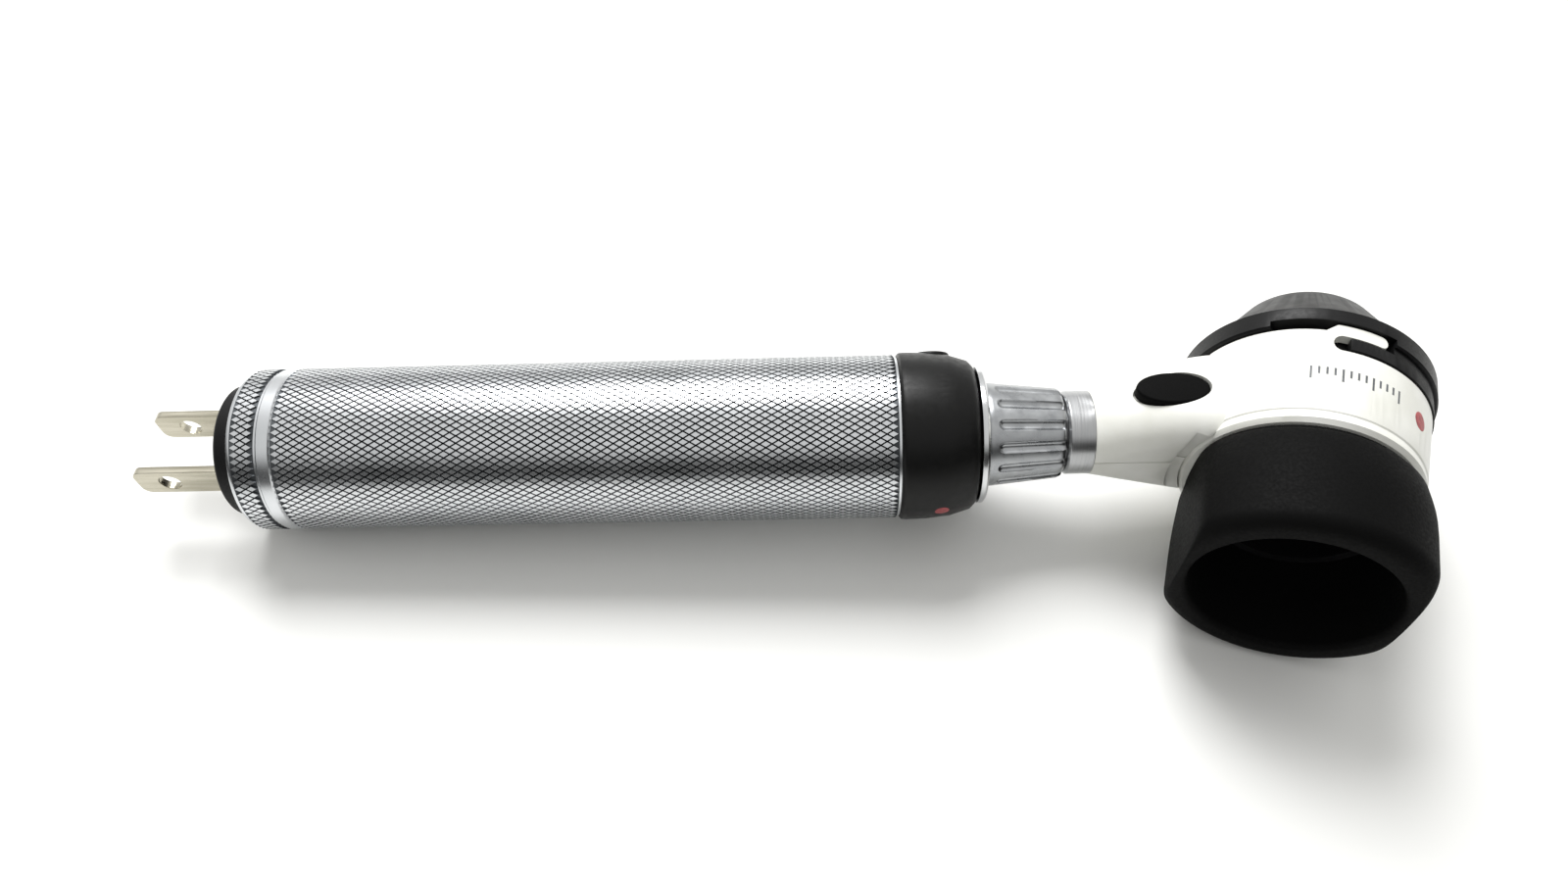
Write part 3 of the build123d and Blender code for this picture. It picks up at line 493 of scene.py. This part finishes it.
dial_columns = flutes * 28
dial_angle = np.linspace(0.0, 2 * np.pi, dial_columns, endpoint=False)[None, :]
dial_stations = np.concatenate(
    (
        dial_begin + np.array((0.4, 1.0, 1.5)),
        flute_begin + np.linspace(0.02, flute_radius, 10),
        np.linspace(flute_begin + flute_radius + 1.0, dial_begin + dial_length - 0.9, 12),
    )
)[:, None]
dial_side = on_axis(handle_line, fluted_radius(dial_angle, dial_stations), dial_angle, dial_stations)
dial_edge_station = dial_begin + dial_length
dial_edge = fluted_radius(dial_angle, np.array([[dial_edge_station - 0.9]]))
dial_cavity = 3.6
dial_rings = [
    (core_radius, dial_edge_station),
    (core_radius, dial_begin + dial_cavity),
    (8.0, dial_begin + dial_cavity),
    (8.0, dial_begin),
    (dial_wide - 0.4, dial_begin),
    (dial_wide - 0.12, dial_begin + 0.12),
]
dial_rows = [dial_side]
dial_rows.append(on_axis(handle_line, dial_edge - 0.3, dial_angle, np.array([[dial_edge_station - 0.3]])))
dial_lip = np.minimum(dial_edge - 0.9, 7.2)
dial_rows.append(on_axis(handle_line, dial_lip, dial_angle, np.array([[dial_edge_station]])))
for radius, station in dial_rings:
    dial_rows.append(on_axis(handle_line, np.array([[radius]]), dial_angle, np.array([[station]])))
dial_points = np.concatenate(dial_rows)

# Satin chrome over milled brass, a little uneven in colour and gloss.
satin_chrome, tree, shader = new_material(
    "satin_chromed_dial", {"Base Color": linear("#A9ABAE"), "Metallic": 1.0, "Roughness": 0.28}
)
uneven(tree, shader, 2.5, 4.0, roughness=(0.24, 0.34), colours=("#A0A2A5", "#B2B4B6"))
fluted_dial = new_piece(
    "fluted_brightness_dial",
    dial_points,
    grid_faces(len(dial_points), dial_columns, close_rows=True),
    "dimmer",
    satin_chrome,
    50.0,
)
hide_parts("dimmer_dial")

# ------------------------------------------------------------ steel coupling ring
# A short turned steel ring where the head locks onto the handle, left with a satin face.
turned_steel, tree, shader = new_material(
    "satin_turned_steel",
    {"Base Color": linear("#B4B5B6"), "Metallic": 1.0, "Roughness": 0.32, "Anisotropic": 0.5},
)
uneven(tree, shader, (6000.0, 120.0, 120.0), 2.0, roughness=(0.27, 0.35), colours=("#AEAFB1", "#B9BABB"))
dress(turned_steel, "core_tube")
soften("coupling_ring", "steel_coupling_ring", turned_steel, 0.12)

# ------------------------------------------------------------ white head housing and neck cover
# Die-cast shells in stoved off-white lacquer. The upper half of the neck is one casting with the round
# head, and the lower cover meets it along a fine dark line.
white_lacquer, tree, shader = new_material(
    "stoved_white_lacquer",
    {
        "Base Color": linear("#E9E9E2"),
        "Roughness": 0.38,
        "IOR": 1.5,
        "Coat Weight": 0.25,
        "Coat Roughness": 0.3,
    },
)
uneven(tree, shader, 11.0, 4.0, roughness=(0.33, 0.46), colours=("#E2E2DA", "#EFEFEA"))
uneven(tree, shader, 0.9, 2.0, relief=0.006)
soften("head_housing", "white_head_housing", white_lacquer, 0.12)
soften("neck_cover", "lower_neck_cover", white_lacquer, 0.12)

# ------------------------------------------------------------ printed scale and index dot on the head
# A row of plain grey ticks and a red dot, pad printed on top of the head beside the bayonet. The ink is
# thin and dries hard.

# Pad-printing ink: flat dark grey, thin enough to show the lacquer's gloss.
grey_ink, tree, shader = new_material(
    "grey_printing_ink", {"Base Color": linear("#6A6C6E"), "Roughness": 0.5}
)
uneven(tree, shader, 0.5, colours=("#54575A", "#65686B"))
ink_height = 0.03
drum_front = 14.6


def drum_wall(station):
    """Outer radius of the white drum, which widens slightly away from the eye."""
    return 20.0 + 0.067 * (drum_front - station)


def tick(angle, low, high, width):
    """Eight corners of one printed bar on the drum, from two angles, two stations and two heights."""
    half = width / 2 / drum_wall(low)
    sides = (angle - half, angle + half)
    turn, station, lift = np.meshgrid(sides, (low, high), (-0.05, ink_height), indexing="ij")
    return on_axis(optical_line, drum_wall(station) + lift, turn, station).reshape(-1, 3)


tick_count = 13
tick_width = 0.36
tick_begin = 3.4
tick_angles = np.radians(np.linspace(15.0, -27.0, tick_count))
tick_lengths = np.where(np.arange(tick_count) % 4 == 0, 2.6, 1.5)
tick_bars = zip(tick_angles, tick_begin + tick_lengths)
tick_points = np.concatenate([tick(angle, tick_begin, end, tick_width) for angle, end in tick_bars])
box_faces = np.array([(0, 1, 3, 2), (4, 5, 7, 6), (0, 1, 5, 4), (2, 3, 7, 6), (0, 2, 6, 4), (1, 3, 7, 5)])
tick_faces = (box_faces[None] + 8 * np.arange(tick_count)[:, None, None]).reshape(-1, 4).tolist()
new_piece("printed_tick_scale", tick_points, tick_faces, "head", grey_ink)
disc_on_wall(
    "head_index_dot",
    optical_line,
    (np.radians(-44.0), 5.6),
    drum_wall,
    1.7,
    0.05,
    "head",
    red_enamel,
)

# ------------------------------------------------------------ side light button
# An oval push button of black silicone rubber in the top of the neck.
silicone, tree, shader = new_material(
    "black_silicone_rubber",
    {"Base Color": linear("#080808"), "Roughness": 0.62, "IOR": 1.41, "Specular IOR Level": 0.08},
)
uneven(tree, shader, 0.25, roughness=(0.56, 0.7), relief=0.01)
soften("light_button", "oval_light_button", silicone, 0.1)

# ------------------------------------------------------------ eyecup
# A soft black rubber cup pushed over the focusing sleeve. Two flats on its sides give the fingers a grip,
# and its rim is rolled smooth for the eye.
cup_start = 14.9
cup_end = 36.5
cup_radius = 22.0
cup_flat = 18.4
flat_softness = 34.0
sleeve_front = 20.0
sleeve_outer = 17.4


def flatted(radius, angle, flat):
    """A round section with two flats: a smooth smaller-of-two between the circle and the flats' distance."""
    straight = flat / np.maximum(np.abs(np.sin(angle)), 1e-6)
    return (radius**-flat_softness + straight**-flat_softness) ** (-1.0 / flat_softness)


def arc_points(centre, size, first, last, count):
    """Points (radius, station) round part of an ellipse, from one angle to another in degrees."""
    sweep = np.radians(np.linspace(first, last, count))
    return np.stack((centre[0] + size[0] * np.cos(sweep), centre[1] + size[1] * np.sin(sweep)), axis=1)


cup_outside = np.concatenate(
    (
        np.array([(sleeve_outer, cup_start), (18.8, cup_start), (19.1, cup_start + 0.15)]),
        np.array([(19.2, cup_start + 0.6), (19.35, cup_start + 0.8)]),
        np.array([(20.3, cup_start + 1.7), (20.5, cup_start + 2.0)]),
        np.array([(20.85, cup_start + 3.5), (21.2, cup_start + 5.0), (21.6, cup_start + 7.0)]),
        np.array([(21.85, cup_start + 9.0), (cup_radius, cup_start + 12.0), (cup_radius, cup_end - 4.5)]),
        arc_points((cup_radius - 3.0, cup_end - 3.0), (3.0, 3.0), 0.0, 90.0, 12),
    )
)
cup_inside = np.concatenate(
    (
        arc_points((cup_radius - 4.4, cup_end - 1.3), (1.0, 1.3), 90.0, 180.0, 8),
        np.array([(16.5, cup_end - 4.0), (15.9, 26.5), (15.4, 23.0), (14.7, 21.0), (14.4, sleeve_front)]),
        np.array([(sleeve_outer, sleeve_front)]),
    )
)
cup_columns = 240
cup_angle = np.linspace(0.0, 2 * np.pi, cup_columns, endpoint=False)[None, :]
outside_radius = flatted(cup_outside[:, :1], cup_angle, cup_flat)
outside_radius[0] = sleeve_outer
cup_points = np.concatenate(
    (
        on_axis(optical_line, outside_radius, cup_angle, cup_outside[:, 1:]),
        on_axis(optical_line, cup_inside[:, :1], cup_angle, cup_inside[:, 1:]),
    )
)

# Natural rubber with a dull moulded skin: very dark, with a faint sheen where it is handled.
cup_rubber, tree, shader = new_material(
    "soft_black_rubber",
    {"Base Color": linear("#080808"), "Roughness": 0.7, "IOR": 1.5, "Specular IOR Level": 0.07},
)
uneven(tree, shader, 0.5, roughness=(0.58, 0.75), relief=0.015)
eyecup = new_piece(
    "rubber_eyecup",
    cup_points,
    grid_faces(len(cup_points), cup_columns, close_rows=True),
    "focus",
    cup_rubber,
    40.0,
)
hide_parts("eyecup")

# ------------------------------------------------------------ contact cap, glass and seal
# A black polycarbonate cap carries the flat glass that touches the skin. Its ring is dull where it is
# gripped, and a rubber cord seals it in the head.
cap_plastic, tree, shader = new_material(
    "black_polycarbonate_cap",
    {"Base Color": linear("#0A0A0B"), "Roughness": 0.42, "IOR": 1.58, "Specular IOR Level": 0.16},
)
uneven(tree, shader, 0.4, roughness=(0.34, 0.48), relief=0.01)
contact_cap = soften("contact_cap", "black_contact_cap", cap_plastic, 0.12)

# The cone beyond the grip ring is left polished from the mould, so it mirrors the room behind it.
polished_cone, tree, shader = new_material(
    "polished_cap_cone",
    {"Base Color": linear("#0C0C0C"), "Roughness": 0.4, "IOR": 1.58, "Specular IOR Level": 0.14},
)
uneven(tree, shader, 3.0, roughness=(0.36, 0.46))
cone_begin = -9.3
cap_mesh = contact_cap.data
cap_mesh.materials.append(polished_cone)
cap_centres = np.zeros(len(cap_mesh.polygons) * 3)
cap_mesh.polygons.foreach_get("center", cap_centres)
cap_stations = (cap_centres.reshape(-1, 3) - optical_line["origin"]) @ optical_line["along"] / mm
cap_mesh.polygons.foreach_set("material_index", (cap_stations < cone_begin).astype(np.int32))
dress(silicone, "cap_seal")

# Optical glass with an anti-reflection coating: clear, with a faint cool cast at the edge.
coated_glass, tree, shader = new_material(
    "coated_optical_glass",
    {"Base Color": linear("#F2F8F8"), "Roughness": 0.02, "IOR": 1.52, "Transmission Weight": 1.0},
)
uneven(tree, shader, 4.0, roughness=(0.01, 0.035))
dress(coated_glass, "contact_glass", "lens_skin_side", "lens_eye_side")

# ------------------------------------------------------------ lens barrel, focus sleeve and their fittings
# Turned aluminium, matt-black anodised so that no stray light reaches the eye.
black_anodised, tree, shader = new_material(
    "black_anodised_aluminium", {"Base Color": linear("#232325"), "Metallic": 0.6, "Roughness": 0.5}
)
uneven(tree, shader, 1.0, roughness=(0.44, 0.58))
dress(black_anodised, "focus_sleeve", "lens_barrel", "lens_spacer", "lens_retainer")

# ------------------------------------------------------------ boards, lamps and wiring inside the head
# A ring board with six lamps round the lenses, a small switch board under the button, and one wire.

# Green solder mask over woven glass: the weave shows as a fine mottling.
solder_mask, tree, shader = new_material(
    "green_solder_mask", {"Base Color": linear("#1F5A35"), "Roughness": 0.35, "IOR": 1.55}
)
uneven(tree, shader, 0.5, colours=("#1A4E2E", "#27693F"))
dress(solder_mask, "led_board", "switch_board", "charger_board")

# Lamp phosphor under clear resin: pale yellow and slightly cloudy.
phosphor, tree, shader = new_material(
    "lamp_phosphor_resin", {"Base Color": linear("#EFE39A"), "Roughness": 0.25, "IOR": 1.5}
)
uneven(tree, shader, 0.6, colours=("#E6D77F", "#F5ECB4"))
dress(phosphor, "led_bank_plain", "led_bank_polarised")

# Drawn spring wire and rolled screws: plain steel with fine draw marks.
spring_steel, tree, shader = new_material(
    "drawn_spring_steel", {"Base Color": linear("#A9ABAD"), "Metallic": 1.0, "Roughness": 0.35}
)
uneven(tree, shader, 0.4, roughness=(0.28, 0.45))
dress(
    spring_steel,
    "battery_spring",
    "contact_spring",
    "lock_button_spring",
    "light_button_spring",
    "retaining_ring",
    "guide_pin",
    "neck_screws",
    "board_screws",
)

# Red insulation: extruded vinyl, soft and slightly shiny.
red_vinyl, tree, shader = new_material(
    "red_vinyl_insulation", {"Base Color": linear("#A81F1F"), "Roughness": 0.4}
)
uneven(tree, shader, 1.0, colours=("#981A1A", "#B72828"))
dress(red_vinyl, "supply_wire")

# ------------------------------------------------------------ battery, contacts and charger in the handle
# Two plated steel cells in an insulating sleeve, turned brass contacts, and the charger's parts.

# Turned brass: warm yellow, dulled by air.
turned_brass, tree, shader = new_material(
    "turned_brass", {"Base Color": linear("#C9A34E"), "Metallic": 1.0, "Roughness": 0.3}
)
uneven(tree, shader, 2.0, colours=("#B58F40", "#D6B25E"))
dress(turned_brass, "contact_pin", "head_contact_pin", "dimmer_wiper")

# Cell cans: bright nickel plate over steel with a faint haze.
cell_nickel, tree, shader = new_material(
    "nickel_plated_can", {"Base Color": linear("#BEBFC1"), "Metallic": 1.0, "Roughness": 0.28}
)
uneven(tree, shader, 5.0, roughness=(0.22, 0.36))
dress(cell_nickel, "battery_cell_rear", "battery_cell_front")

# Shrink sleeve: blue vinyl drawn tight, glossy.
shrink_sleeve, tree, shader = new_material(
    "blue_shrink_sleeve", {"Base Color": linear("#27477E"), "Roughness": 0.3}
)
uneven(tree, shader, 3.0, colours=("#223F70", "#2E5190"))
dress(shrink_sleeve, "battery_sleeve", "charger_capacitor")

# Moulded insulators: cream acetal, dull.
cream_acetal, tree, shader = new_material(
    "cream_acetal_insulator", {"Base Color": linear("#D9D4C6"), "Roughness": 0.5}
)
uneven(tree, shader, 2.0, colours=("#CFC9B9", "#E2DED2"))
dress(cream_acetal, "core_insulator", "head_insulator")
dress(moulded_nylon, "charger_diodes", "button_switch")

# Resistance track: carbon ink on a phenolic ring, brown-black and dull.
carbon_track, tree, shader = new_material(
    "carbon_resistance_track", {"Base Color": linear("#2A241F"), "Roughness": 0.7}
)
uneven(tree, shader, 0.5, colours=("#241F1B", "#332C26"))
dress(carbon_track, "dimmer_track")

# ------------------------------------------------------------ table and light
# A plain pale table top under a wide soft light, with a dim room on the near side that metal mirrors.
floor_half = 2.5
floor_mesh = bpy.data.meshes.new("table_top")
floor_mesh.from_pydata(
    [(floor_half * right, floor_half * back, 0) for right, back in ((-1, -1), (1, -1), (1, 1), (-1, 1))],
    [],
    [(0, 1, 2, 3)],
)
floor = bpy.data.objects.new("table_top", floor_mesh)
bpy.context.scene.collection.objects.link(floor)
table_white, tree, shader = new_material(
    "pale_laminate_table", {"Base Color": linear("#EEEEEC"), "Roughness": 0.6}
)
uneven(tree, shader, 400.0, 1.0, colours=("#ECECEA", "#F0F0EE"))
floor_mesh.materials.append(table_white)

dim_side = 0.05
bright_side = 0.8
world = bpy.data.worlds.new("studio_room")
bpy.context.scene.world = world
world.use_nodes = True
room = world.node_tree
direction = add_node(room, "ShaderNodeTexCoord")
parts = add_node(room, "ShaderNodeSeparateXYZ", inputs={"Vector": direction.outputs["Generated"]})
height = add_node(
    room,
    "ShaderNodeMapRange",
    {"interpolation_type": "SMOOTHSTEP"},
    {"Value": parts.outputs["Z"], "From Min": 0.32, "From Max": 0.72, "To Min": 0.0, "To Max": 1.0},
)
behind = add_node(
    room,
    "ShaderNodeMapRange",
    {"interpolation_type": "SMOOTHSTEP"},
    {"Value": parts.outputs["Y"], "From Min": -0.3, "From Max": 0.3, "To Min": 0.0, "To Max": 1.0},
)
lit_share = add_node(
    room,
    "ShaderNodeMath",
    {"operation": "MAXIMUM", "use_clamp": True},
    {0: height.outputs["Result"], 1: behind.outputs["Result"]},
)
strength = add_node(
    room,
    "ShaderNodeMapRange",
    inputs={
        "Value": lit_share.outputs["Value"],
        "From Min": 0.0,
        "From Max": 1.0,
        "To Min": dim_side,
        "To Max": bright_side,
    },
)
seen = add_node(room, "ShaderNodeLightPath")
shown = add_node(
    room,
    "ShaderNodeMath",
    {"operation": "MAXIMUM"},
    {0: strength.outputs["Result"], 1: seen.outputs["Is Camera Ray"]},
)
background = room.nodes["Background"]
background.inputs["Color"].default_value = linear("#FFFFFD")
room.links.new(shown.outputs["Value"], background.inputs["Strength"])


def soft_light(name, place, aim, size, power):
    """A square area light that faces a point."""
    data = bpy.data.lights.new(name, "AREA")
    data.size = size
    data.energy = power
    lamp = bpy.data.objects.new(name, data)
    lamp.location = place
    lamp.rotation_euler = (Vector(aim) - Vector(place)).to_track_quat("-Z", "Y").to_euler()
    bpy.context.scene.collection.objects.link(lamp)


soft_light("window_light", (-0.12, 0.5, 0.75), (0.0, 0.0, 0.0), 0.45, 9.0)
bpy.context.scene.view_settings.view_transform = "Standard"
